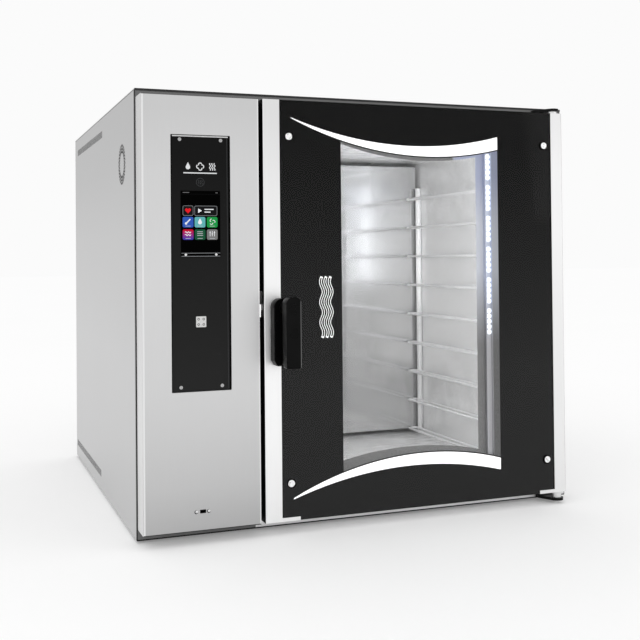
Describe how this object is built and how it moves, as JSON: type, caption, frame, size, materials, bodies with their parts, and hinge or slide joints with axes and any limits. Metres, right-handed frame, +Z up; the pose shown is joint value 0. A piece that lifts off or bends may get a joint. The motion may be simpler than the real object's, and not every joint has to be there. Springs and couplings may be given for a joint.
{
  "type": "combi steamer oven",
  "caption": "Countertop combi steam oven with a right-hung glass door, a control column on the left, two tray racks, two fans and a steam flue.",
  "frame": {"origin": "centre of the overall box, on the floor under the rubber feet", "axes": "+Z up, -Y out of the oven's front, +X to the viewer's right when facing the front"},
  "size_m": [0.972, 1.079, 0.922],
  "materials": {
    "satin_steel": "satin stainless sheet",
    "bright_steel": "bright stainless sheet",
    "cavity_steel": "polished stainless liner",
    "chrome_wire": "polished wire",
    "black_rubber": "silicone rubber",
    "mineral_wool": "mineral wool",
    "heater_sheath": "oxidised heater sheath",
    "motor_paint": "dark grey paint",
    "bush_bronze": "bronze bush",
    "copper_pipe": "copper pipe",
    "valve_brass": "brass valve body",
    "black_plastic": "black moulded plastic",
    "black_plate": "satin black plate",
    "screen_glass": "black display glass",
    "circuit_board": "solder resist",
    "white_plastic": "white moulded plastic",
    "black_metal": "black coated bracket",
    "clear_glass": "toughened glass",
    "black_enamel": "black ceramic print under glass",
    "white_enamel": "white ceramic print under glass",
    "grey_enamel": "dark dotted print on glass",
    "led_aluminium": "plain aluminium",
    "led_white": "light-emitting chips"
  },
  "bodies": {
    "oven_body": {"base_frame": "satin_steel", "rubber_feet": "black_rubber", "base_tray": "satin_steel", "left_side_panel": "satin_steel", "right_side_panel": "satin_steel", "top_cover": "satin_steel", "top_trim": "black_rubber", "rear_panel": "satin_steel", "front_frame": "satin_steel", "partition_panel": "satin_steel", "motor_bulkhead": "satin_steel", "cavity_shell": "cavity_steel", "insulation": "mineral_wool", "fan_baffle": "cavity_steel", "left_rack": "chrome_wire", "right_rack": "chrome_wire", "door_gasket": "black_rubber", "outer_seal": "black_rubber", "upper_heater": "heater_sheath", "lower_heater": "heater_sheath", "upper_fan_motor": "motor_paint", "lower_fan_motor": "motor_paint", "shaft_bushes": "bush_bronze", "steam_injector": "copper_pipe", "drain_strainer": "bright_steel", "drain_pipe": "bright_steel", "vent_pipe": "bright_steel", "damper_actuator": "motor_paint", "solenoid_valve": "valve_brass", "cable_gland": "black_plastic", "control_fascia": "satin_steel", "control_plate": "black_plate", "touch_screen": "screen_glass", "display_module": "circuit_board", "panel_screws": "bright_steel", "control_board": "circuit_board", "contactors": "motor_paint", "cooling_fan_frame": "black_plastic", "latch_keeper": "white_plastic", "hinge_brackets": "black_metal", "hinge_pins": "bright_steel"},
    "door": {"door_frame": "bright_steel", "left_stile": "bright_steel", "right_stile": "bright_steel", "hinge_bushes": "bush_bronze", "outer_glass": "clear_glass", "glass_border": "black_enamel", "glass_arches": "white_enamel", "inner_glass": "clear_glass", "inner_border": "grey_enamel", "glass_bolts": "bright_steel", "led_profile": "led_aluminium", "led_chips": "led_white", "handle_base": "black_plastic"},
    "handle": {"handle_lever": "black_plastic", "latch_tongue": "bright_steel"},
    "upper_fan_wheel": {"upper_fan": "led_aluminium"},
    "lower_fan_wheel": {"lower_fan": "led_aluminium"},
    "cooling_fan_wheel": {"cooling_rotor": "black_plastic"},
    "damper_flap": {"vent_damper": "bright_steel"}
  },
  "joints": [
    {"name": "door_hinge", "type": "hinge", "parent": "oven_body", "child": "door", "pos_m": [0.44, -0.4495, 0.445], "axis": [0, 0, 1], "range_deg": [0, 120]},
    {"name": "handle_turn", "type": "hinge", "parent": "door", "child": "handle", "pos_m": [-0.206, -0.5015, 0.452], "axis": [0, 1, 0], "range_deg": [0, 60]},
    {"name": "upper_fan_spin", "type": "hinge", "parent": "oven_body", "child": "upper_fan_wheel", "pos_m": [0.106, 0.2785, 0.6235], "axis": [0, 1, 0], "continuous": true},
    {"name": "lower_fan_spin", "type": "hinge", "parent": "oven_body", "child": "lower_fan_wheel", "pos_m": [0.106, 0.2785, 0.2445], "axis": [0, 1, 0], "continuous": true},
    {"name": "cooling_fan_spin", "type": "hinge", "parent": "oven_body", "child": "cooling_fan_wheel", "pos_m": [-0.474, -0.2635, 0.746], "axis": [1, 0, 0], "continuous": true},
    {"name": "damper_turn", "type": "hinge", "parent": "oven_body", "child": "damper_flap", "pos_m": [0.274, 0.2515, 0.869], "axis": [1, 0, 0], "range_deg": [0, 90]}
  ]
}
